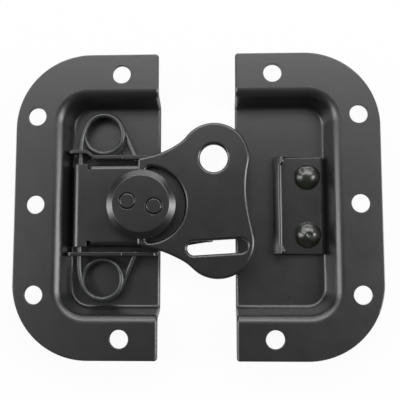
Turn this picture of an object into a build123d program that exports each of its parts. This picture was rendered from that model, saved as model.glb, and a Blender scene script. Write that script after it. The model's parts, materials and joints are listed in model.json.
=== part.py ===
"""Recessed butterfly twist latch in a two-part pressed steel dish.

The latch half stands on the -X side and the strike half on the +X side, drawn
apart as they lie before a case is closed.  +Z points out of the dish, towards
the hand.  The origin is midway between the halves, under the pans.
All sizes are in millimetres.
"""
import os
from math import acos, atan2, cos, degrees, hypot, radians, sin, sqrt, tan

from build123d import *

os.makedirs("parts", exist_ok=True)

# ---------------------------------------------------------------- dish halves
half_gap = 12.8            # parting edge to the middle, each side
half_width = 47.8          # parting edge to the outer edge of a flange
dish_height = 101.6        # along Y
corner_radius = 25.0       # outer corners of the flanges
parting_corner = 1.0       # small radius where a flange meets the parting edge
sheet = 1.2                # thickness of the pressed pans
dish_depth = 9.0           # floor face to flange face
wall_lean = 15.0           # degrees, walls from the vertical
floor_reach = 30.3         # parting edge to the floor's sharp outer edge
floor_half = 34.1          # middle to the floor's sharp upper and lower edges
floor_corner = 6.5         # plan radius of the floor's corners
floor_fillet = 1.2         # inside radius between floor and wall
mouth_radius = 3.0         # face radius between wall and flange
edge_break = 0.3           # rounding of a punched flange edge

# ---------------------------------------------------------------- flange holes
hole_radius = 3.05
edge_hole_reach = 12.5     # parting edge to the upper and lower holes
edge_hole_inset = 6.9      # end of the dish to the upper and lower holes
edge_hole_spacing = dish_height - 2 * edge_hole_inset
side_hole_reach = 40.8     # parting edge to the three outer holes
side_hole_inset = 21.1     # end of the dish to the outermost two of the three
side_hole_spacing = dish_height - 2 * side_hole_inset

# ---------------------------------------------------------------- base bracket
bracket_sheet = 1.2
bracket_half = 16.9        # middle to the outer face of an ear
bracket_start = 0.6        # parting edge to the bracket's near end
bracket_reach = 28.6       # parting edge to the bracket floor's far end
ear_past_hinge = 4.0       # hinge axis to the far end of the ears
ear_top = 7.4              # height of the ears above the pan's underside
ear_step = 1.0             # the ears are lower by this towards the parting edge
ear_step_reach = 12.4      # parting edge to that step
ear_corner = 1.6
far_lift = 3.0             # the ears' far ends hang this far above the floor
lug_offset = 1.9           # the upper ear's hinge lug stands out by this
lug_start = 22.0           # parting edge to the start of that joggle
lug_end = 24.6             # parting edge to its end

# ---------------------------------------------------------------- hinge and springs
hinge_reach = 26.9         # parting edge to the carrier's hinge axis
ear_reach = hinge_reach + ear_past_hinge
wire_radius = 0.8
wire_play = 0.05           # radial, between a wire and the hole it turns in
leg_play = 0.15            # radial, between a wire and the ear it passes
coil_radius = 6.5          # mean radius of a spring's upper turn
coil_growth = 0.2          # the last turn is wound this much wider
coil_pitch = 1.72
coil_reach = 7.7           # hinge axis to a coil's centre, along X
coil_stand = 7.8           # outer face of an ear to a coil's centre
coil_y = bracket_half + coil_stand
leg_in_barrel = 7.5        # length of a spring's leg inside the barrel
far_leg_reach = 8.2        # parting edge to where the ear holds the other leg
far_leg_lift = 0.5         # clear height of that leg above the bracket's floor
leg_stand_off = 0.6        # clear length of a hinge leg outside its ear
coil_steps = 16            # guide points along a coil

# ---------------------------------------------------------------- carrier
carrier_sheet = 1.4
carrier_half = 13.9        # middle to the outer face of a side flange
carrier_top = 7.4          # height of its upper face
barrel_radius = 2.25
carrier_bend = 1.9         # outside radius of the side flanges' bends
flange_foot = 2.9          # height of the side flanges' lower edges
nose_over = 0.5            # the round end about the boss is wider than the flanges
nose_radius = carrier_half + nose_over
relief_width = 1.3         # bend-relief slots beside the barrel
relief_depth = 2.0
relief_reach = 3.4         # hinge axis to the middle of a relief slot
seam_gap = 0.25            # where the rolled barrel meets the plate again

# ---------------------------------------------------------------- boss (turret)
boss_reach = 5.5           # parting edge to the boss axis
cap_radius = 11.5
cap_height = 4.8
cap_chamfer = 2.1          # width of the chamfer seen from above
cap_chamfer_height = 1.4
cap_rim = 0.35             # soft edges of the chamfer
cap_clearance = 0.2        # between the cap and the carrier
spigot_radius = 8.0
turning_play = 0.05        # radial, spigot in carrier
rivet_pitch = 8.94         # between the two turret rivets
rivet_skew = -11.3         # degrees, line through the rivets from +X
turret_shank = 1.9
turret_head = 2.5
head_recess = 0.3          # ring left open round each turret rivet head
head_sink = 0.9            # how deep the heads sit in the cap
head_proud = 0.15
head_rim = 0.35

# ---------------------------------------------------------------- cam and tongue
cam_throw = 3.0            # cam centre to the boss axis
cam_radius = 4.9
crank_lead = 0.21         # a true crank leads or lags an even slide by this much throw
cam_gap = 0.3              # least gap between the cam and its window
layer_gap = 0.2            # between tongue, carrier and washer
tongue_sheet = 1.6
tongue_side_gap = 0.5      # between the tongue and the carrier's side flanges
tongue_rear_half = carrier_half - carrier_sheet - tongue_side_gap
tongue_rear = 12.4         # boss axis to the tongue's rear end
tongue_shoulder = 3.5      # boss axis to the end of the wide rear part
tongue_step = 1.8          # how much narrower its neck is, each side
tongue_neck_half = tongue_rear_half - tongue_step
head_start = 15.2          # boss axis to the start of the hook head
tongue_rise = 2.0          # how far the head is joggled up
joggle_run = 2.6
hook_inner = 21.8          # boss axis to the hook's catching face
hook_foot = 3.1            # height of the hook's lower edge
window_corner = 1.5
head_low_near = 13.4       # lower side of the head, where it starts
head_low_far = 12.2        # and at its tip
washer_radius = 9.0
washer_sheet = 0.8
tenon_radius = 1.9

# ---------------------------------------------------------------- handle
handle_sheet = 2.0
fold_height = 9.0          # height of the fold axis, the middle of the handle
bar_half = 1.35            # half width of the bar under the cap
bar_upper = 15.4           # fold bar's upper end
bar_lower = 13.5           # fold bar's lower end
bar_room = 1.75            # half height and half width left for the bar
bar_corner = 0.8
upper_lobe = (24.0, 15.6)  # lobe centres, from the boss axis
upper_lobe_radius = 11.7
upper_arc = (143, 65, -12)  # degrees, start, middle and end of the lobe's round rim
lower_lobe = (25.2, -12.6)
lower_lobe_radius = 12.0
lower_arc = (12, -53, -118)
upper_shoulder = [(7.3, 17.7), (11.6, 20.0)]   # rim between the bar and the lobe
lower_shoulder = [(15.2, -19.7), (11.6, -17.6), (7.2, -15.7)]
upper_slope = 13           # degrees, the rim's slope where it leaves the bar
lower_slope = 14
waist = (34.65, 4.0)       # point of the hollow right edge
eye_centre = (2.0, 0.0)    # round side of the opening about the cap
eye_radius = 12.7
eye_corner = 1.5
padlock_centre = (23.9, 15.3)
padlock_radius = 4.65
slot_centre = (25.0, -14.15)
slot_length = 19.8
slot_width = 4.5
slot_tilt = 3.5            # degrees
rim_radius = 0.85          # rounding of the handle's upper rims
under_rim = 0.35

# ---------------------------------------------------------------- keeper
keeper_sheet = 1.5
keeper_start = 12.7        # parting edge to the outside of the lip
keeper_end = 29.0
keeper_half = 16.5
lip_bend = 2.0             # outside radius of the lip's bend
lip_angle = 140.0          # degrees that the lip is bent through
lip_length = 2.0           # straight part of the lip
nib_length = 2.9           # of each raised end of the lip, along Y
nib_extra = 1.0            # how much further a nib reaches
keeper_rivet_reach = 24.3
keeper_rivet_spacing = 19.7
keeper_head_radius = 4.4
keeper_head_height = 2.9
head_brim = 0.35           # upright edge of the head under its dome
floor_shank = 2.4
floor_tail = 3.1           # radius of a flush tail on the underside
tail_depth = 0.6

# ---------------------------------------------------------------- bracket rivets
bracket_rivet_reach = (7.5, 23.5)
bracket_rivet_half = 9.5
bracket_shank = 1.7
bracket_head = 2.8
bracket_tail = 2.3

# ---------------------------------------------------------------- worked out
floor_face = sheet
flange_under = dish_depth
flange_face = dish_depth + sheet
latch_edge = -half_gap
boss_x = latch_edge - boss_reach
hinge_x = latch_edge - hinge_reach
hinge_z = carrier_top - barrel_radius
bracket_face = floor_face + bracket_sheet
coil_x = hinge_x + coil_reach
leg_end_x = latch_edge - far_leg_reach
leg_end_z = bracket_face + wire_radius + far_leg_lift
ear_middle = bracket_half - bracket_sheet / 2
carrier_under = carrier_top - carrier_sheet
cap_foot = carrier_top + cap_clearance
cap_top = cap_foot + cap_height
tongue_top = carrier_under - layer_gap
tongue_under = tongue_top - tongue_sheet
head_under = tongue_under + tongue_rise
washer_top = tongue_under - layer_gap
washer_foot = washer_top - washer_sheet
cam_x = boss_x - cam_throw
window_half = cam_radius + crank_lead * cam_throw + cam_gap
window_reach = cam_radius + cam_throw + cam_gap
brim_rise = keeper_head_height - head_brim
dome_radius = (keeper_head_radius ** 2 + brim_rise ** 2) / (2 * brim_rise)
keeper_face = floor_face + keeper_sheet


def spot(reach, side):
    """X of a point this far from a half's parting edge."""
    return side * (half_gap + reach)


def upright(x=0.0, y=0.0):
    """Plane for side profiles: its own axes are world X and Z."""
    return Plane((x, y, 0), x_dir=(1, 0, 0), z_dir=(0, -1, 0))


def pressed_pan(side):
    """Pan pressed about one parting edge, still whole: flange, leaning walls, floor."""
    lean = tan(radians(wall_lean))
    outward = sheet / cos(radians(wall_lean)) - sheet * lean
    base = Plane((spot(0, side), 0, 0))
    with BuildPart() as pan:
        with BuildSketch(base):
            RectangleRounded(2 * (floor_reach + outward), 2 * (floor_half + outward),
                             floor_corner + outward)
        extrude(amount=flange_under, taper=-wall_lean)
        fillet(pan.edges().group_by(Axis.Z)[0], floor_fillet + sheet)
        with BuildSketch(base.offset(flange_under)):
            RectangleRounded(2 * half_width, dish_height, corner_radius)
        extrude(amount=sheet)
        fillet(pan.faces().filter_by(Plane.XY).sort_by(Axis.Z)[-1].edges(), edge_break)
        flange = pan.faces().filter_by(Plane.XY).group_by(Axis.Z)[1]
        throat = flange.sort_by(SortBy.AREA)[-1].inner_wires()[0]
        fillet(throat.edges(), mouth_radius - sheet)
        with BuildSketch(base.offset(floor_face)):
            RectangleRounded(2 * floor_reach, 2 * floor_half, floor_corner)
        extrude(amount=dish_depth, taper=-wall_lean, mode=Mode.SUBTRACT)
        floor = pan.faces().filter_by_position(
            Axis.Z, floor_face - 0.01, floor_face + 0.01)[0]
        fillet(floor.edges(), floor_fillet)
        mouth = pan.faces().filter_by(Plane.XY).sort_by(Axis.Z)[-1].inner_wires()[0]
        fillet(mouth.edges(), mouth_radius)
    return pan.part


def trim_half(dish, side):
    """Cut a pan at its parting edge and punch the flange holes."""
    split(bisect_by=Plane((spot(0, side), 0, 0), x_dir=(0, 1, 0), z_dir=(side, 0, 0)),
          keep=Keep.TOP)
    ends = dish.edges().filter_by(Axis.Z).filter_by_position(
        Axis.X, spot(0, side) - 0.01, spot(0, side) + 0.01)
    fillet(ends.filter_by(lambda e: abs(e.center().Y) > dish_height / 2 - 1), parting_corner)
    edge_x, side_x = spot(edge_hole_reach, side), spot(side_hole_reach, side)
    places = [(edge_x, sign * edge_hole_spacing / 2, flange_face) for sign in (-1, 1)]
    places += [(side_x, row * side_hole_spacing / 2, flange_face) for row in (-1, 0, 1)]
    with Locations(*places):
        Hole(hole_radius, depth=2 * sheet)


def rivet_hole(x, y, top, shank, tail):
    """Hole for a flush-set rivet, countersunk on the pan's underside."""
    with Locations((x, y, 0)):
        Cone(tail, shank, tail_depth, align=(Align.CENTER, Align.CENTER, Align.MIN),
             mode=Mode.SUBTRACT)
        Cylinder(shank, top, align=(Align.CENTER, Align.CENTER, Align.MIN),
                 mode=Mode.SUBTRACT)


# ------------------------------------------------------------------ springs
coil_end_radius = coil_radius + coil_growth
run_x, run_y = leg_end_x - coil_x, ear_middle - coil_y
leave_angle = degrees(atan2(run_y, run_x) + acos(coil_end_radius / hypot(run_x, run_y)))
coil_sweep = 180 - leave_angle + 360
coil_end_z = hinge_z - coil_pitch * coil_sweep / 360
leave = Vector(coil_x + coil_end_radius * cos(radians(leave_angle)),
               coil_y + coil_end_radius * sin(radians(leave_angle)), coil_end_z)
leg_slope = Vector(leg_end_x, ear_middle, leg_end_z) - leave
leg_tip = leave + leg_slope * ((leave.Y - (ear_middle - bracket_sheet)) / (leave.Y - ear_middle))


def coil_point(angle):
    """Point of the coil after turning this many degrees from the hinge leg."""
    share = angle / coil_sweep
    radius = coil_radius + coil_growth * share
    turned = radians(180 - angle)
    return (coil_x + radius * cos(turned), coil_y + radius * sin(turned),
            hinge_z - coil_pitch * angle / 360)


def wound_spring(side):
    """Torsion spring: hinge leg, one and a half turns, and the leg held by the ear."""
    bend_y = bracket_half + lug_offset + leg_stand_off
    turns = [coil_point(coil_sweep * n / coil_steps) for n in range(1, coil_steps)]
    flip = lambda p: (p[0], side * p[1], p[2])
    first = (hinge_x, carrier_half - leg_in_barrel, hinge_z)
    with BuildPart() as spring:
        with BuildLine() as path:
            straight = Line(flip(first), flip((hinge_x, bend_y, hinge_z)))
            points = [straight @ 1] + [flip(p) for p in turns] + [flip(tuple(leave))]
            out = Vector(*flip(tuple(leg_slope))).normalized()
            coil = Spline(*points, tangents=[(0, side, 0), out])
            Line(coil @ 1, flip(tuple(leg_tip)))
        with BuildSketch(Plane(straight @ 0, z_dir=(0, side, 0))):
            Circle(wire_radius)
        sweep()
    return spring.part


# ------------------------------------------------------------------ latch half
latch_pan = pressed_pan(-1)
with BuildPart() as latch_dish:
    add(latch_pan)
    trim_half(latch_dish, -1)
    for reach in bracket_rivet_reach:
        for sign in (-1, 1):
            rivet_hole(spot(reach, -1), sign * bracket_rivet_half, floor_face,
                       bracket_shank, bracket_tail)
latch_dish.part.label = "latch_dish"

# plan of the two ears: the upper one steps out to its hinge lug
ear_inner = bracket_half - bracket_sheet
near_x, far_x = spot(bracket_start, -1), spot(ear_reach, -1)
step_x, lug_x0, lug_x1 = (spot(r, -1) for r in (ear_step_reach, lug_start, lug_end))
with BuildPart() as base_bracket:
    with BuildSketch(Plane.XY.offset(floor_face)):
        with Locations(((near_x + spot(bracket_reach, -1)) / 2, 0)):
            Rectangle(bracket_reach - bracket_start, 2 * bracket_half)
    extrude(amount=bracket_sheet)
    with BuildSketch(Plane.XY.offset(floor_face)):
        with BuildLine():
            Polyline((near_x, ear_inner), (lug_x0, ear_inner),
                     (lug_x1, ear_inner + lug_offset), (far_x, ear_inner + lug_offset),
                     (far_x, bracket_half + lug_offset), (lug_x1, bracket_half + lug_offset),
                     (lug_x0, bracket_half), (near_x, bracket_half), close=True)
        make_face()
        with Locations(((near_x + far_x) / 2, -ear_middle)):
            Rectangle(ear_reach - bracket_start, bracket_sheet)
    extrude(amount=ear_top - floor_face)
    # side profile of the ears: the far ends hang clear of the floor's bend
    with BuildSketch(upright()):
        with Locations((near_x, ear_top)):
            Rectangle(2 * (ear_step_reach - bracket_start), 2 * ear_step)
        with Locations((far_x, floor_face)):
            Rectangle(2 * (ear_reach - bracket_reach), 2 * far_lift)
    extrude(amount=dish_height, both=True, mode=Mode.SUBTRACT)
    corners = base_bracket.edges().filter_by(Axis.Y).filter_by(
        lambda e: e.center().Z > ear_top - ear_step - 0.01
        and not far_x + 0.1 < e.center().X < near_x - 0.1)
    fillet(corners, ear_corner)
    for side in (-1, 1):
        with Locations(Plane((hinge_x, 0, hinge_z), z_dir=(0, side, 0))):
            Cylinder(wire_radius + leg_play, dish_height / 2, mode=Mode.SUBTRACT,
                     align=(Align.CENTER, Align.CENTER, Align.MIN))
        far_leg = Vector(leg_slope.X, side * leg_slope.Y, leg_slope.Z)
        with Locations(Plane((leg_end_x, side * ear_middle, leg_end_z), z_dir=far_leg)):
            Cylinder(wire_radius + leg_play, 4 * bracket_sheet, mode=Mode.SUBTRACT)
    for reach in bracket_rivet_reach:
        with Locations(*[(spot(reach, -1), sign * bracket_rivet_half, bracket_face)
                         for sign in (-1, 1)]):
            CounterSinkHole(bracket_shank, bracket_head, bracket_sheet, 90)
base_bracket.part.label = "base_bracket"


def flush_rivet(x, y):
    """Countersunk rivet, flush on the bracket's floor and under the pan."""
    cone = bracket_head - bracket_shank
    with BuildPart() as rivet:
        with BuildSketch(upright(x, y)):
            with BuildLine():
                Polyline((0, 0), (bracket_tail, 0), (bracket_shank, tail_depth),
                         (bracket_shank, bracket_face - cone),
                         (bracket_head, bracket_face), (0, bracket_face), close=True)
            make_face()
        revolve(axis=Axis((x, y, 0), (0, 0, 1)))
    return rivet.part


bracket_rivets = {}
for place, reach in zip(("front", "rear"), bracket_rivet_reach):
    for level, sign in (("upper", 1), ("lower", -1)):
        rivet = flush_rivet(spot(reach, -1), sign * bracket_rivet_half)
        rivet.label = f"bracket_rivet_{place}_{level}"
        bracket_rivets[rivet.label] = rivet

springs = {}
for name, side in (("spring_upper", 1), ("spring_lower", -1)):
    springs[name] = wound_spring(side)
    springs[name].label = name

# ------------------------------------------------------------------ carrier
nose_x = boss_x + nose_radius
flange_start = hinge_x + relief_reach + relief_width / 2
flange_end = boss_x + sqrt(nose_radius ** 2 - carrier_half ** 2)
with BuildPart() as carrier_plate:
    # rolled barrel and top plate, seen along the hinge
    with BuildSketch(upright()):
        with Locations((hinge_x, hinge_z)):
            Circle(barrel_radius)
        with Locations(((hinge_x + nose_x) / 2, carrier_top - carrier_sheet / 2)):
            Rectangle(nose_x - hinge_x, carrier_sheet)
        with Locations((hinge_x, hinge_z)):
            Circle(wire_radius + wire_play, mode=Mode.SUBTRACT)
        with Locations((hinge_x + wire_radius / 2, carrier_under - seam_gap)):
            Rectangle(barrel_radius, seam_gap, align=(Align.MIN, Align.MIN),
                      mode=Mode.SUBTRACT)
    extrude(amount=carrier_half, both=True)
    with BuildSketch():
        with Locations(*[(hinge_x + relief_reach, sign * carrier_half) for sign in (-1, 1)]):
            SlotOverall(2 * relief_depth, relief_width, rotation=90)
    extrude(amount=carrier_top, mode=Mode.SUBTRACT)
    # side flanges, bent down
    with BuildSketch(Plane.XY.offset(flange_foot)):
        with Locations(*[((flange_start + nose_x) / 2,
                          sign * (carrier_half - carrier_sheet / 2)) for sign in (-1, 1)]):
            Rectangle(nose_x - flange_start, carrier_sheet)
    extrude(amount=carrier_top - flange_foot)
    bends = carrier_plate.edges().filter_by(Axis.X).filter_by(
        lambda e: abs(abs(e.center().Y) - carrier_half) < 0.01
        and abs(e.center().Z - carrier_top) < 0.01 and e.center().X > flange_start)
    fillet(bends, carrier_bend)
    # round nose about the boss, open in front below the plate, and the spigot's hole
    with BuildSketch():
        with Locations((boss_x, 0)):
            Circle(nose_radius)
            Rectangle(boss_x - hinge_x + barrel_radius, 2 * carrier_half,
                      align=(Align.MAX, Align.CENTER))
    extrude(amount=carrier_top, mode=Mode.INTERSECT)
    with BuildSketch():
        with Locations((flange_end, 0)):
            Rectangle(nose_radius, 2 * carrier_half, align=(Align.MIN, Align.CENTER))
    extrude(amount=carrier_under, mode=Mode.SUBTRACT)
    with BuildSketch():
        with Locations((boss_x, 0)):
            Circle(spigot_radius + turning_play)
    extrude(amount=carrier_top, mode=Mode.SUBTRACT)
carrier_plate.part.label = "carrier_plate"

# ------------------------------------------------------------------ tongue
rear_x = boss_x - tongue_rear
joggle_x0 = boss_x + head_start
joggle_x1 = joggle_x0 + joggle_run
hook_x0 = boss_x + hook_inner
hook_x1 = hook_x0 + tongue_sheet
head_top = tongue_top + tongue_rise
under_shift = tongue_sheet * tan(atan2(tongue_rise, joggle_run) / 2)
with BuildPart() as hook_tongue:
    with BuildSketch(upright()):
        with BuildLine():
            Polyline((rear_x, tongue_top), (joggle_x0, tongue_top), (joggle_x1, head_top),
                     (hook_x1, head_top), (hook_x1, hook_foot), (hook_x0, hook_foot),
                     (hook_x0, head_under), (joggle_x1 + under_shift, head_under),
                     (joggle_x0 + under_shift, tongue_under), (rear_x, tongue_under),
                     close=True)
        make_face()
    extrude(amount=head_low_near, both=True)
    with BuildSketch():
        with BuildLine():
            Polyline((rear_x, tongue_rear_half), (boss_x + tongue_shoulder, tongue_rear_half),
                     (boss_x + tongue_shoulder, tongue_neck_half),
                     (hook_x1, tongue_neck_half), (hook_x1, -head_low_far),
                     (joggle_x0, -head_low_near), (joggle_x0, -tongue_neck_half),
                     (boss_x + tongue_shoulder, -tongue_neck_half),
                     (boss_x + tongue_shoulder, -tongue_rear_half),
                     (rear_x, -tongue_rear_half), close=True)
        make_face()
        with Locations((cam_x, 0)):
            RectangleRounded(2 * window_half, 2 * window_reach, window_corner,
                             mode=Mode.SUBTRACT)
    extrude(amount=carrier_top * 2, mode=Mode.INTERSECT)
    fillet(hook_tongue.edges().filter_by(Axis.Y).filter_by(
        lambda e: abs(e.center().X - hook_x1) < 0.01 and e.center().Z > head_under),
        tongue_sheet)
    fillet(hook_tongue.edges().filter_by(Axis.Y).filter_by(
        lambda e: e.center().Z < hook_foot + 0.01), tongue_sheet / 4)
hook_tongue.part.label = "hook_tongue"

# ------------------------------------------------------------------ boss
rivet_spots = [(boss_x + sign * rivet_pitch / 2 * cos(radians(rivet_skew)),
                sign * rivet_pitch / 2 * sin(radians(rivet_skew))) for sign in (-1, 1)]
MIN_Z = (Align.CENTER, Align.CENTER, Align.MIN)
with BuildPart() as turret_cap:
    with BuildSketch(Plane.XY.offset(cap_foot)):
        with Locations((boss_x, 0)):
            Circle(cap_radius)
    extrude(amount=cap_height)
    chamfer(turret_cap.edges().group_by(Axis.Z)[-1], length=cap_chamfer_height,
            length2=cap_chamfer, reference=turret_cap.faces().filter_by(GeomType.CYLINDER)[0])
    shoulder = turret_cap.edges().filter_by(GeomType.CIRCLE).sort_by(Axis.Z)[1:]
    fillet(shoulder, cap_rim)
    with Locations((boss_x, 0, cap_foot)):
        Box(2 * bar_room, 2 * cap_radius, fold_height + bar_room - cap_foot, align=MIN_Z,
            mode=Mode.SUBTRACT)
    with Locations(*[(x, y, cap_top) for x, y in rivet_spots]):
        CounterBoreHole(turret_shank, turret_head + head_recess, head_sink)
turret_cap.part.label = "turret_cap"

with BuildPart() as cam_spigot:
    with Locations((boss_x, 0, carrier_under)):
        Cylinder(spigot_radius, cap_foot - carrier_under, align=MIN_Z)
    with Locations((cam_x, 0, washer_top)):
        Cylinder(cam_radius, carrier_under - washer_top, align=MIN_Z)
    with Locations((cam_x, 0, washer_foot)):
        Cylinder(tenon_radius, washer_sheet, align=MIN_Z)
    with Locations((boss_x, 0, fold_height - bar_room)):
        Box(2 * bar_room, 2 * spigot_radius, cap_height, align=MIN_Z, mode=Mode.SUBTRACT)
    with Locations(*[(x, y, cap_foot) for x, y in rivet_spots]):
        Hole(turret_shank, depth=cap_foot - carrier_under)
cam_spigot.part.label = "cam_spigot"

with BuildPart() as retaining_washer:
    with Locations((boss_x, 0, washer_foot)):
        Cylinder(washer_radius, washer_sheet, align=MIN_Z)
    with Locations((cam_x, 0, washer_foot)):
        Cylinder(tenon_radius, washer_sheet, align=MIN_Z, mode=Mode.SUBTRACT)
retaining_washer.part.label = "retaining_washer"


def turret_rivet(x, y):
    """Rivet whose flat round head lies in a recess of the cap."""
    with BuildPart() as rivet:
        with Locations((x, y, carrier_under)):
            Cylinder(turret_shank, cap_top - head_sink - carrier_under, align=MIN_Z)
        with Locations((x, y, cap_top - head_sink)):
            Cylinder(turret_head, head_sink + head_proud, align=MIN_Z)
        fillet(rivet.edges().group_by(Axis.Z)[-1], head_rim)
    return rivet.part


turret_rivets = {}
for name, (x, y) in zip(("turret_rivet_rear", "turret_rivet_front"), rivet_spots):
    turret_rivets[name] = turret_rivet(x, y)
    turret_rivets[name].label = name


# ------------------------------------------------------------------ handle
def from_boss(x, y):
    return (boss_x + x, y)


def lobe_point(centre, radius, angle):
    """Point on a lobe's rim and the way a clockwise outline passes it."""
    turned = radians(angle)
    place = from_boss(centre[0] + radius * cos(turned), centre[1] + radius * sin(turned))
    return place, (sin(turned), -cos(turned))


(upper_in, upper_in_way), (upper_mid, _), (upper_out, upper_out_way) = (
    lobe_point(upper_lobe, upper_lobe_radius, angle) for angle in upper_arc)
(lower_in, lower_in_way), (lower_mid, _), (lower_out, lower_out_way) = (
    lobe_point(lower_lobe, lower_lobe_radius, angle) for angle in lower_arc)
bar_top_way = (cos(radians(upper_slope)), sin(radians(upper_slope)))
bar_foot_way = (-cos(radians(lower_slope)), sin(radians(lower_slope)))
bar_top, bar_foot = from_boss(-bar_half, bar_upper), from_boss(-bar_half, -bar_lower)
with BuildPart() as butterfly_handle:
    with BuildSketch(Plane.XY.offset(fold_height - handle_sheet / 2)):
        with BuildLine():
            Line(bar_foot, bar_top)
            Spline(bar_top, *[from_boss(*p) for p in upper_shoulder], upper_in,
                   tangents=[bar_top_way, upper_in_way])
            ThreePointArc(upper_in, upper_mid, upper_out)
            Spline(upper_out, from_boss(*waist), lower_in,
                   tangents=[upper_out_way, lower_in_way])
            ThreePointArc(lower_in, lower_mid, lower_out)
            Spline(lower_out, *[from_boss(*p) for p in lower_shoulder], bar_foot,
                   tangents=[lower_out_way, bar_foot_way])
        make_face()
    extrude(amount=handle_sheet)
    # opening about the cap: round towards the lobes, straight along the bar
    with BuildSketch(Plane.XY.offset(fold_height - handle_sheet / 2)):
        with Locations(from_boss(*eye_centre)):
            Circle(eye_radius)
        with Locations(from_boss(bar_half, 0)):
            Rectangle(2 * eye_radius, 2 * eye_radius, align=(Align.MAX, Align.CENTER),
                      mode=Mode.SUBTRACT)
    extrude(amount=handle_sheet, mode=Mode.SUBTRACT)
    corners = butterfly_handle.edges().filter_by(Axis.Z).filter_by(
        lambda e: abs(e.center().X - boss_x - bar_half) < 0.05)
    fillet(corners, eye_corner)
    ends = butterfly_handle.edges().filter_by(Axis.Z).filter_by(
        lambda e: e.center().X < boss_x - bar_half + 0.05)
    fillet(ends, bar_corner)
    with Locations((*from_boss(*padlock_centre), fold_height + handle_sheet / 2)):
        Hole(padlock_radius, depth=handle_sheet)
    with BuildSketch(Plane.XY.offset(fold_height - handle_sheet / 2)):
        with Locations(from_boss(*slot_centre)):
            SlotOverall(slot_length, slot_width, rotation=slot_tilt)
    extrude(amount=handle_sheet, mode=Mode.SUBTRACT)
    flats = butterfly_handle.faces().filter_by(Plane.XY)
    fillet(flats.sort_by(Axis.Z)[-1].edges(), rim_radius)
    flats = butterfly_handle.faces().filter_by(Plane.XY)
    fillet(flats.sort_by(Axis.Z)[0].edges(), under_rim)
butterfly_handle.part.label = "butterfly_handle"

# ------------------------------------------------------------------ strike half
strike_pan = pressed_pan(1)
keeper_spots = [(spot(keeper_rivet_reach, 1), sign * keeper_rivet_spacing / 2)
                for sign in (-1, 1)]
with BuildPart() as strike_dish:
    add(strike_pan)
    trim_half(strike_dish, 1)
    for x, y in keeper_spots:
        rivet_hole(x, y, floor_face, floor_shank, floor_tail)
strike_dish.part.label = "strike_dish"

bend_x, bend_z = spot(keeper_start + lip_bend, 1), floor_face + lip_bend
lip_turn = radians(270 - lip_angle)
along, inward = (sin(lip_turn), -cos(lip_turn)), (-cos(lip_turn), -sin(lip_turn))


def keeper_profile(length):
    """Side profile: flat plate, tight bend and a lip leaning back over the plate."""
    inner = lip_bend - keeper_sheet
    foot = (bend_x + lip_bend * cos(lip_turn), bend_z + lip_bend * sin(lip_turn))
    tip = (foot[0] + length * along[0], foot[1] + length * along[1])
    root = (bend_x + inner * cos(lip_turn), bend_z + inner * sin(lip_turn))
    end_x = spot(keeper_end, 1)
    with BuildSketch(upright()) as profile:
        with BuildLine():
            Line((end_x, floor_face), (bend_x, floor_face))
            ThreePointArc((bend_x, floor_face), (bend_x - lip_bend, bend_z), foot)
            Line(foot, tip)
            Line(tip, (tip[0] + keeper_sheet * inward[0], tip[1] + keeper_sheet * inward[1]))
            Line((tip[0] + keeper_sheet * inward[0], tip[1] + keeper_sheet * inward[1]), root)
            ThreePointArc(root, (bend_x - inner, bend_z), (bend_x, keeper_face))
            Line((bend_x, keeper_face), (end_x, keeper_face))
            Line((end_x, keeper_face), (end_x, floor_face))
        make_face()
    return profile.sketch


with BuildPart() as keeper_plate:
    extrude(keeper_profile(lip_length), amount=keeper_half, both=True)
    for sign in (-1, 1):
        nib = keeper_profile(lip_length + nib_extra).moved(
            Location((0, sign * (keeper_half - nib_length / 2), 0)))
        extrude(nib, amount=nib_length / 2, both=True)
    for x, y in keeper_spots:
        with Locations((x, y, keeper_face)):
            Hole(floor_shank, depth=keeper_sheet)
keeper_plate.part.label = "keeper_plate"


def domed_rivet(x, y):
    """Round-headed rivet on the keeper, its tail flush under the pan."""
    with BuildPart() as rivet:
        with BuildSketch(upright(x, y)):
            with BuildLine():
                Polyline((0, 0), (floor_tail, 0), (floor_shank, tail_depth),
                         (floor_shank, keeper_face), (keeper_head_radius, keeper_face),
                         (keeper_head_radius, keeper_face + head_brim))
                RadiusArc((keeper_head_radius, keeper_face + head_brim),
                          (0, keeper_face + keeper_head_height), -dome_radius)
                Line((0, keeper_face + keeper_head_height), (0, 0))
            make_face()
        revolve(axis=Axis((x, y, 0), (0, 0, 1)))
    return rivet.part


keeper_rivets = {}
for name, (x, y) in zip(("keeper_rivet_lower", "keeper_rivet_upper"), keeper_spots):
    keeper_rivets[name] = domed_rivet(x, y)
    keeper_rivets[name].label = name

# ------------------------------------------------------------------ files
pieces = [latch_dish.part, base_bracket.part, carrier_plate.part, hook_tongue.part,
          turret_cap.part, cam_spigot.part, retaining_washer.part, butterfly_handle.part,
          strike_dish.part, keeper_plate.part]
pieces += [*bracket_rivets.values(), *springs.values(), *turret_rivets.values(),
           *keeper_rivets.values()]
for piece in pieces:
    export_step(piece, f"parts/{piece.label}.step")
    print(piece.label, round(piece.volume, 1))
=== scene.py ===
"""Recessed butterfly twist latch, dressed for looks.

The two pressed steel dish halves, the sprung carrier, the turn handle and the keeper
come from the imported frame.  This script gives them their coated finishes, adds the
lights, the floor and the camera, and replaces the pieces whose rounding has to be
finer than the frame's facets.
"""
import json

import bmesh
import bpy
import numpy as np
from mathutils import Matrix, Vector


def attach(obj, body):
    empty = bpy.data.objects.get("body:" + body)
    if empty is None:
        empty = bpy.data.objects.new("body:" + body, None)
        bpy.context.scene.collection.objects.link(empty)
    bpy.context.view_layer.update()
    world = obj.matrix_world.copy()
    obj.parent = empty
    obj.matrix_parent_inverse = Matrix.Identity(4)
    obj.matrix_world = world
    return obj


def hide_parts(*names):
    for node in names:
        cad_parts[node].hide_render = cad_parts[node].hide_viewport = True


MM = 0.001

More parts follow.
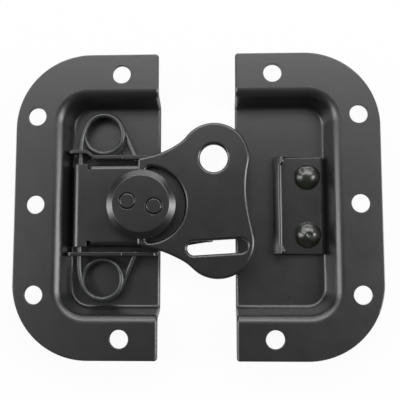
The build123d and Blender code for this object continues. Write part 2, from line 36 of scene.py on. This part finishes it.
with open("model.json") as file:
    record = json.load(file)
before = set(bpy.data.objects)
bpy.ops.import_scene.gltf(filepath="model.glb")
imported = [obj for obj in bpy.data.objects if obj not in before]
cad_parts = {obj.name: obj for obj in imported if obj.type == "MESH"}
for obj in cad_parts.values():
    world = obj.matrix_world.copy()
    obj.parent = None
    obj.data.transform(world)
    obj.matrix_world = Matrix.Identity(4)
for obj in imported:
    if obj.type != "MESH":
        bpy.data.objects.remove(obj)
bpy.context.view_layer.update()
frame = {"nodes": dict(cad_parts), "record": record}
nodes = frame["nodes"]


# ------------------------------------------------------------------ colours and nodes
def linear(code):
    """sRGB hex colour to the linear values that a shader takes."""
    parts = [int(code[i:i + 2], 16) / 255 for i in (1, 3, 5)]
    return tuple(p / 12.92 if p <= 0.04045 else ((p + 0.055) / 1.055) ** 2.4
                 for p in parts) + (1.0,)


def add_node(tree, kind, settings=None, inputs=None):
    """Add one node: settings are its properties, inputs are values or other sockets."""
    node = tree.nodes.new(kind)
    for name, value in (settings or {}).items():
        setattr(node, name, value)
    for name, value in (inputs or {}).items():
        if isinstance(value, bpy.types.NodeSocket):
            tree.links.new(value, node.inputs[name])
        else:
            node.inputs[name].default_value = value
    return node


def new_material(name):
    """Empty node material with its output node."""
    material = bpy.data.materials.new(name)
    material.use_nodes = True
    material.node_tree.nodes.clear()
    return material, material.node_tree


# ------------------------------------------------------------------ finishes
def coated_steel(name, dark, light, roughness, gloss_spread, clear, peel, grain, edge):
    """Baked black coating on steel: satin, with a faint orange peel and fine grain.

    dark and light bound the slow drift of its colour, roughness and gloss_spread set
    the satin, clear is the roughness of its clear skin, peel and grain are bump heights
    in millimetres, and edge is the radius in millimetres at which the coat softens the
    sheet's corners.
    """
    material, tree = new_material(name)
    place = add_node(tree, "ShaderNodeTexCoord").outputs["Object"]
    # handled areas drift in tone over about 20 mm
    drift = add_node(tree, "ShaderNodeTexNoise", {}, {
        "Vector": place, "Scale": 1 / (20 * MM), "Detail": 3.0, "Roughness": 0.6})
    tone = add_node(tree, "ShaderNodeMapRange", {}, {
        "Value": drift.outputs["Fac"], "From Min": 0.35, "From Max": 0.65})
    colour = add_node(tree, "ShaderNodeMix", {"data_type": "RGBA"}, {
        0: tone.outputs["Result"], 6: linear(dark), 7: linear(light)})
    sheen_patches = add_node(tree, "ShaderNodeTexNoise", {}, {
        "Vector": place, "Scale": 1 / (6 * MM), "Detail": 4.0, "Roughness": 0.65})
    rough = add_node(tree, "ShaderNodeMapRange", {}, {
        "Value": sheen_patches.outputs["Fac"], "From Min": 0.3, "From Max": 0.7,
        "To Min": roughness - gloss_spread, "To Max": roughness + gloss_spread})
    # orange peel is about 1.6 mm from dimple to dimple
    peel_noise = add_node(tree, "ShaderNodeTexNoise", {}, {
        "Vector": place, "Scale": 1 / (1.6 * MM), "Detail": 2.0, "Roughness": 0.5})
    grain_noise = add_node(tree, "ShaderNodeTexNoise", {}, {
        "Vector": place, "Scale": 1 / (0.45 * MM), "Detail": 2.0, "Roughness": 0.7})
    rounded = add_node(tree, "ShaderNodeBevel", {"samples": 6}, {"Radius": edge * MM})
    peel_bump = add_node(tree, "ShaderNodeBump", {}, {
        "Strength": 1.0, "Distance": peel * MM, "Height": peel_noise.outputs["Fac"],
        "Normal": rounded.outputs["Normal"]})
    bump = add_node(tree, "ShaderNodeBump", {}, {
        "Strength": 1.0, "Distance": grain * MM, "Height": grain_noise.outputs["Fac"],
        "Normal": peel_bump.outputs["Normal"]})
    shader = add_node(tree, "ShaderNodeBsdfPrincipled", {}, {
        "Base Color": colour.outputs[2], "Roughness": rough.outputs["Result"],
        "Normal": bump.outputs["Normal"], "IOR": 1.58,
        "Coat Weight": 1.0, "Coat Roughness": clear, "Coat IOR": 1.62,
        "Coat Normal": bump.outputs["Normal"]})
    add_node(tree, "ShaderNodeOutputMaterial", {}, {"Surface": shader.outputs["BSDF"]})
    return material


# baked satin powder coat on the pressed pans: soft sheen, faint orange peel
dish_coat = coated_steel("satin_powder_coat", "#151716", "#191b1a", 0.38, 0.04, 0.34,
                         peel=0.022, grain=0.016, edge=0.35)
# electrophoretic dip coat on the moving parts: thinner and a little darker
dip_coat = coated_steel("satin_dip_coat", "#101211", "#151716", 0.34, 0.04, 0.30,
                        peel=0.014, grain=0.012, edge=0.30)
# black oxide spring wire: drawn smooth, oiled, brighter along its crest; its colour is set
# lighter than the other black coats as a painted sheen, standing in for the broad reflection
# along the wire
sheen_painted_wire_coat = coated_steel("black_oxide_wire_painted_sheen", "#1f2221", "#2d302f", 0.42, 0.05, 0.38,
                         peel=0.004, grain=0.004, edge=0.10)
# gloss black dip on the rivets: soft bright spots, dinged by the riveting tool
rivet_coat = coated_steel("gloss_black_rivet", "#14170f", "#22271a", 0.34, 0.06, 0.24,
                          peel=0.050, grain=0.004, edge=0.15)

finish_of_slot = {"powder_coated_steel": dish_coat, "coated_mechanism": dip_coat,
                  "spring_wire": sheen_painted_wire_coat, "black_rivet": rivet_coat}
for subpart in frame["record"]["subparts"]:
    for place in nodes[subpart["node"]].material_slots:
        place.material = finish_of_slot[subpart["material_slot"]]

# the two rivet ends in the boss were dipped together with it
for name in ("turret_rivet_rear", "turret_rivet_front"):
    for place in nodes[name].material_slots:
        place.material = dip_coat


# ------------------------------------------------------------------ worked surfaces
def surface(name, points, body, slot, material, *replaced):
    """Closed smooth surface through a grid of points in millimetres.

    Rows run along the piece and columns go round it.  The first and last rows are
    drawn in to their own middles, so both ends are closed.
    """
    ends = [np.repeat(points[row].mean(axis=0)[None, None], points.shape[1], axis=1)
            for row in (0, -1)]
    grid = np.concatenate([ends[0], points, ends[1]]) * MM
    rows, columns = grid.shape[:2]
    first = np.arange((rows - 1) * columns).reshape(rows - 1, columns)
    after = np.roll(first, -1, axis=1)
    quads = np.stack([first, after, after + columns, first + columns], axis=-1)
    mesh = bpy.data.meshes.new(name)
    mesh.from_pydata(grid.reshape(-1, 3).tolist(), [], quads.reshape(-1, 4).tolist())
    shell = bmesh.new()
    shell.from_mesh(mesh)
    bmesh.ops.remove_doubles(shell, verts=shell.verts, dist=0.0005 * MM)
    bmesh.ops.recalc_face_normals(shell, faces=shell.faces)
    shell.to_mesh(mesh)
    shell.free()
    mesh.polygons.foreach_set("use_smooth", np.ones(len(mesh.polygons), bool))
    mesh.materials.append(material)
    piece = bpy.data.objects.new(name, mesh)
    bpy.context.scene.collection.objects.link(piece)
    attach(piece, body)
    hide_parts(*replaced)
    return piece


def wire(path, radius, around=20):
    """Round wire: a circle square to a path that stays nearly level all along."""
    ahead = np.gradient(path, axis=0)
    ahead /= np.linalg.norm(ahead, axis=1)[:, None]
    level = np.cross(ahead, (0.0, 0.0, 1.0))
    level /= np.linalg.norm(level, axis=1)[:, None]
    over = np.cross(level, ahead)
    turn = np.linspace(0, 2 * np.pi, around, endpoint=False)
    ring = (level[:, None] * np.cos(turn)[None, :, None]
            + over[:, None] * np.sin(turn)[None, :, None])
    return path[:, None] + radius * ring


HINGE_X, HINGE_Z = -39.7, 5.15
COIL_X, COIL_Y, COIL_RADIUS, COIL_PITCH = -32.0, 24.7, 6.5, 1.72
WIRE_RADIUS = 0.8
EAR_Y, EAR_SHEET = 16.3, 1.2
LEG_END_X, LEG_END_Z = -21.0, 3.7
COIL_GROWTH, COIL_SWELL = 0.2, 0.45
HINGE_LEG_FROM, HINGE_LEG_TO, HINGE_STEPS = 6.4, 18.6, 14


def spring_path(side):
    """Middle line of a torsion spring, for the upper (1) or lower (-1) ear.

    A straight hinge leg bends into a flat helix, z = hinge z - pitch * turns, whose
    radius swells by a sine bump over its hidden second turn, and the wire leaves it
    on the tangent to the point where the ear holds its other end.
    """
    end_radius = COIL_RADIUS + COIL_GROWTH
    run = np.array([LEG_END_X - COIL_X, EAR_Y - COIL_Y])
    leave = np.degrees(np.arctan2(run[1], run[0])
                       + np.arccos(end_radius / np.hypot(*run)))
    sweep = 540.0 - leave
    turned = np.linspace(30.0, sweep, 170)
    share = turned / sweep
    hidden = np.clip((turned - 300) / (sweep - 300), 0, 1)
    swell = COIL_SWELL * np.sin(np.pi * hidden) ** 2
    radius = COIL_RADIUS + COIL_GROWTH * share + swell
    angle = np.radians(180 - turned)
    coil = np.stack([COIL_X + radius * np.cos(angle), COIL_Y + radius * np.sin(angle),
                     HINGE_Z - COIL_PITCH * turned / 360], axis=1)
    leg = np.linspace(HINGE_LEG_FROM, HINGE_LEG_TO, HINGE_STEPS)
    hinge = np.stack([np.full(HINGE_STEPS, HINGE_X), leg, np.full(HINGE_STEPS, HINGE_Z)],
                     axis=1)
    # cubic from the hinge leg into the coil, matching place and direction at both ends
    step = np.linspace(0, 1, HINGE_STEPS)[1:-1, None]
    start, stop = hinge[-1], coil[0]
    reach = np.linalg.norm(stop - start)
    way_in = np.array([0.0, 1.0, 0.0]) * reach
    way_out = (coil[1] - coil[0]) / np.linalg.norm(coil[1] - coil[0]) * reach
    bend = (start * (1 + 2 * step) * (1 - step) ** 2 + way_in * step * (1 - step) ** 2
            + stop * step ** 2 * (3 - 2 * step) + way_out * step ** 2 * (step - 1))
    held = np.array([LEG_END_X, EAR_Y, LEG_END_Z])
    slope = held - coil[-1]
    tip = coil[-1] + slope * ((coil[-1, 1] - (EAR_Y - EAR_SHEET)) / (coil[-1, 1] - EAR_Y))
    out = coil[-1] + (tip - coil[-1]) * np.linspace(0, 1, 16)[1:, None]
    path = np.concatenate([hinge, bend, coil, out])
    return path * np.array([1.0, side, 1.0])


for name, side in (("spring_upper", 1), ("spring_lower", -1)):
    surface(f"{name}_wire", wire(spring_path(side), WIRE_RADIUS), "latch_base",
            "spring_wire", sheen_painted_wire_coat, name)

KEEPER_FLOOR, KEEPER_HALF, KEEPER_SHEET = 1.2, 16.5, 1.5
KEEPER_BEND = (27.5, 3.2)
KEEPER_BEND_RADIUS = 2.0
KEEPER_END = 42.3
FLAT_STEPS = 12
LIP_LENGTH, NIB_EXTRA, NIB_MIDDLE, NIB_HALF = 2.0, 1.0, 15.05, 1.45
EDGE = 0.3


def keeper_surface():
    """Keeper plate: one thick line bent into a lip, carried across the plate.

    The line runs flat, turns through 140 degrees about the bend and ends in a straight
    lip; each side of it is offset by half the sheet and the lip's edge is a half round.
    The lip's length is 2 mm plus half an ellipse over each nib, and the half thickness
    falls on a quarter circle over the last 0.3 mm at both ends.
    """
    inset = EDGE * (1 - np.cos(np.linspace(0, np.pi / 2, 6)))
    edge_zone = KEEPER_HALF - EDGE + EDGE * np.sin(np.linspace(0, np.pi / 2, 6))
    inner = np.linspace(-(KEEPER_HALF - EDGE), KEEPER_HALF - EDGE, 130)[1:-1]
    across = np.concatenate([-edge_zone[::-1], inner, edge_zone])
    thin = np.concatenate([inset[::-1], np.zeros(len(inner)), inset])
    half = (KEEPER_SHEET / 2 - thin)[:, None]
    lobe = np.sqrt(np.clip(1 - ((np.abs(across) - NIB_MIDDLE) / NIB_HALF) ** 2, 0, 1))
    lip = (LIP_LENGTH + NIB_EXTRA * lobe - KEEPER_SHEET / 2 - thin)[:, None]
    bend_radius = KEEPER_BEND_RADIUS - KEEPER_SHEET / 2
    flat = np.linspace(0, 1, FLAT_STEPS)[None, :]
    count = len(across)
    turn = np.radians(np.linspace(270, 130, 22))[None, 1:]
    x = np.concatenate([
        KEEPER_END - EDGE - thin[:, None] + (KEEPER_BEND[0] - KEEPER_END + EDGE) * flat,
        np.repeat(KEEPER_BEND[0] + bend_radius * np.cos(turn), count, axis=0),
        KEEPER_BEND[0] + bend_radius * np.cos(turn[0, -1])
        + lip * np.linspace(0, 1, 8)[None, 1:] * np.sin(turn[0, -1])], axis=1)
    z = np.concatenate([
        np.full((count, FLAT_STEPS), KEEPER_FLOOR + KEEPER_SHEET / 2),
        np.repeat(KEEPER_BEND[1] + bend_radius * np.sin(turn), count, axis=0),
        KEEPER_BEND[1] + bend_radius * np.sin(turn[0, -1])
        - lip * np.linspace(0, 1, 8)[None, 1:] * np.cos(turn[0, -1])], axis=1)
    heading = np.arctan2(np.gradient(z, axis=1), np.gradient(x, axis=1))
    outward_x, outward_z = -np.sin(heading), np.cos(heading)
    # half round about the lip's edge and a flatter one about the plate's far edge
    fan = np.linspace(0, np.pi, 11)[None, 1:-1]
    tip_turn, root_turn = heading[:, -1:] + np.pi / 2 - fan, heading[:, :1] - np.pi / 2 - fan
    columns_x = np.concatenate([
        x + half * outward_x, x[:, -1:] + half * np.cos(tip_turn),
        (x - half * outward_x)[:, ::-1], x[:, :1] + EDGE * np.cos(root_turn)], axis=1)
    columns_z = np.concatenate([
        z + half * outward_z, z[:, -1:] + half * np.sin(tip_turn),
        (z - half * outward_z)[:, ::-1], z[:, :1] + half * np.sin(root_turn)], axis=1)
    columns_y = np.repeat(across[:, None], columns_x.shape[1], axis=1)
    return np.stack([columns_x, columns_y, columns_z], axis=-1)


surface("keeper_plate_coated", keeper_surface(), "strike", "coated_mechanism", dip_coat,
        "keeper_plate")


def dinged_rivet(x, y, dents):
    """Set rivet: its profile turned about the upright axis, then dented.

    The profile goes up the countersunk tail and the shank, out under the head and over
    a spherical dome; each dent lowers the dome by depth * exp(-distance^2 / 2 width^2).
    """
    tail, shank, head, under, height = 3.1, 2.4, 4.4, 2.7, 2.9
    brim, around = 0.35, 72
    rise = height - brim
    ball = (head ** 2 + rise ** 2) / (2 * rise)
    dome = np.linspace(head, 0.02, 40)
    top = under + height - ball + np.sqrt(ball ** 2 - dome ** 2)
    soft = np.radians(np.linspace(-90, 0, 6))
    reach = np.concatenate([[0.5, tail, shank, shank], head - 0.2 + 0.2 * np.cos(soft), dome])
    level = np.concatenate([[0, 0, 0.6, under], under + 0.2 + 0.2 * np.sin(soft), top])
    turn = np.linspace(0, 2 * np.pi, around, endpoint=False)
    points = np.stack([reach[:, None] * np.cos(turn), reach[:, None] * np.sin(turn),
                       np.repeat(level[:, None], around, axis=1)], axis=-1)
    on_dome = (level > under + brim)[:, None] * (1 - (reach[:, None] / head) ** 6)
    for dent_x, dent_y, depth, width in dents:
        away = (points[..., 0] - dent_x) ** 2 + (points[..., 1] - dent_y) ** 2
        points[..., 2] -= on_dome * depth * np.exp(-away / (2 * width ** 2))
    return points + np.array([x, y, 0.0])


KEEPER_RIVET_X = 37.1
KEEPER_RIVETS = [
    ("keeper_rivet_upper", 9.85, [(-2.2, 1.7, 0.34, 0.6), (0.4, 1.6, 0.22, 1.3),
                                  (1.4, 2.4, 0.12, 0.5), (-0.4, -0.6, 0.08, 0.8)]),
    ("keeper_rivet_lower", -9.85, [(0.0, -0.2, 0.36, 0.6), (0.0, 1.9, 0.20, 1.2),
                                   (-1.5, 0.9, 0.12, 0.5), (1.3, -1.2, 0.08, 0.7)])]
for name, y, dents in KEEPER_RIVETS:
    surface(f"{name}_set", dinged_rivet(KEEPER_RIVET_X, y, dents), "strike", "black_rivet",
            rivet_coat, name)


# ------------------------------------------------------------------ floor
def white_floor():
    """Wide flat sheet of pale card that the latch lies on, seen almost white."""
    half = 1.5
    corners = [(-half, -half), (half, -half), (half, half), (-half, half)]
    mesh = bpy.data.meshes.new("floor")
    mesh.from_pydata([(x, y, -0.3 * MM) for x, y in corners], [], [(0, 1, 2, 3)])
    floor = bpy.data.objects.new("floor", mesh)
    bpy.context.scene.collection.objects.link(floor)
    material, tree = new_material("white_card")
    ray = add_node(tree, "ShaderNodeLightPath")
    card = add_node(tree, "ShaderNodeBsdfDiffuse", {}, {"Color": linear("#f2f2f2")})
    glow = add_node(tree, "ShaderNodeEmission", {}, {
        "Color": (1.0, 1.0, 1.0, 1.0), "Strength": 1.0})
    seen = add_node(tree, "ShaderNodeMath", {"operation": "MULTIPLY"}, {
        0: ray.outputs["Is Camera Ray"], 1: 0.95})
    mixed = add_node(tree, "ShaderNodeMixShader", {}, {
        0: seen.outputs["Value"], 1: card.outputs["BSDF"], 2: glow.outputs["Emission"]})
    add_node(tree, "ShaderNodeOutputMaterial", {}, {"Surface": mixed.outputs["Shader"]})
    mesh.materials.append(material)


white_floor()


# ------------------------------------------------------------------ light and camera
def soft_box(name, place, aim, width, height, power):
    """Rectangular diffused lamp at a place, facing a point."""
    lamp = bpy.data.lights.new(name, "AREA")
    lamp.shape = "RECTANGLE"
    lamp.size, lamp.size_y = width, height
    lamp.energy = power
    lit = bpy.data.objects.new(name, lamp)
    lit.location = place
    lit.rotation_euler = (Vector(aim) - Vector(place)).to_track_quat("-Z", "Y").to_euler()
    bpy.context.scene.collection.objects.link(lit)


# (name, degrees from +Y towards +X, degrees down from overhead, width, height, watts);
# the far-edge box gives the sheen that fades towards the near edge, and the side
# boxes light the leaning walls and bends
LAMPS = [("far_high_box", 0, 24, 0.95, 0.20, 0.5), ("far_box", 0, 39, 0.95, 0.24, 2.75),
         ("far_low_strip", 0, 70, 0.95, 0.12, 1.35), ("left_box", -90, 60, 0.26, 0.80, 2.7),
         ("right_box", 90, 60, 0.26, 0.80, 3.7)]
LAMP_DISTANCE = 0.75
for name, turn, down, width, height, watts in LAMPS:
    turned, lowered = np.radians(turn), np.radians(down)
    toward = Vector((np.sin(turned) * np.sin(lowered), np.cos(turned) * np.sin(lowered),
                     np.cos(lowered)))
    soft_box(name, toward * LAMP_DISTANCE, (0, 0, 10 * MM), width, height, watts)

world = bpy.data.worlds.new("studio")
bpy.context.scene.world = world
world.use_nodes = True
world.node_tree.nodes.clear()
room_ray = add_node(world.node_tree, "ShaderNodeLightPath")
room_level = add_node(world.node_tree, "ShaderNodeMapRange", {}, {
    "Value": room_ray.outputs["Is Camera Ray"], "To Min": 0.06, "To Max": 1.0})
room = add_node(world.node_tree, "ShaderNodeBackground", {}, {
    "Color": (1.0, 1.0, 1.0, 1.0), "Strength": room_level.outputs["Result"]})
add_node(world.node_tree, "ShaderNodeOutputWorld", {}, {"Surface": room.outputs["Background"]})

camera = bpy.data.cameras.new("camera")
camera.lens = 59.55
camera.sensor_width = 36.0
camera.clip_start, camera.clip_end = 0.01, 10.0
viewer = bpy.data.objects.new("camera", camera)
viewer.location = Vector((9.0, -21.45, 226.3)) * MM
aim = Vector((1.08, 1.27, 10.2)) * MM
# the camera looks down, with the dish's +Y edge at the top of the frame
back = (viewer.location - aim).normalized()
right = Vector((0.0045, 0.9945, 0.1044)).cross(back).normalized()
up = back.cross(right)
viewer.rotation_mode = "QUATERNION"
viewer.rotation_quaternion = Matrix((right, up, back)).transposed().to_quaternion()
bpy.context.scene.collection.objects.link(viewer)
bpy.context.scene.camera = viewer
bpy.context.scene.view_settings.view_transform = "Standard"
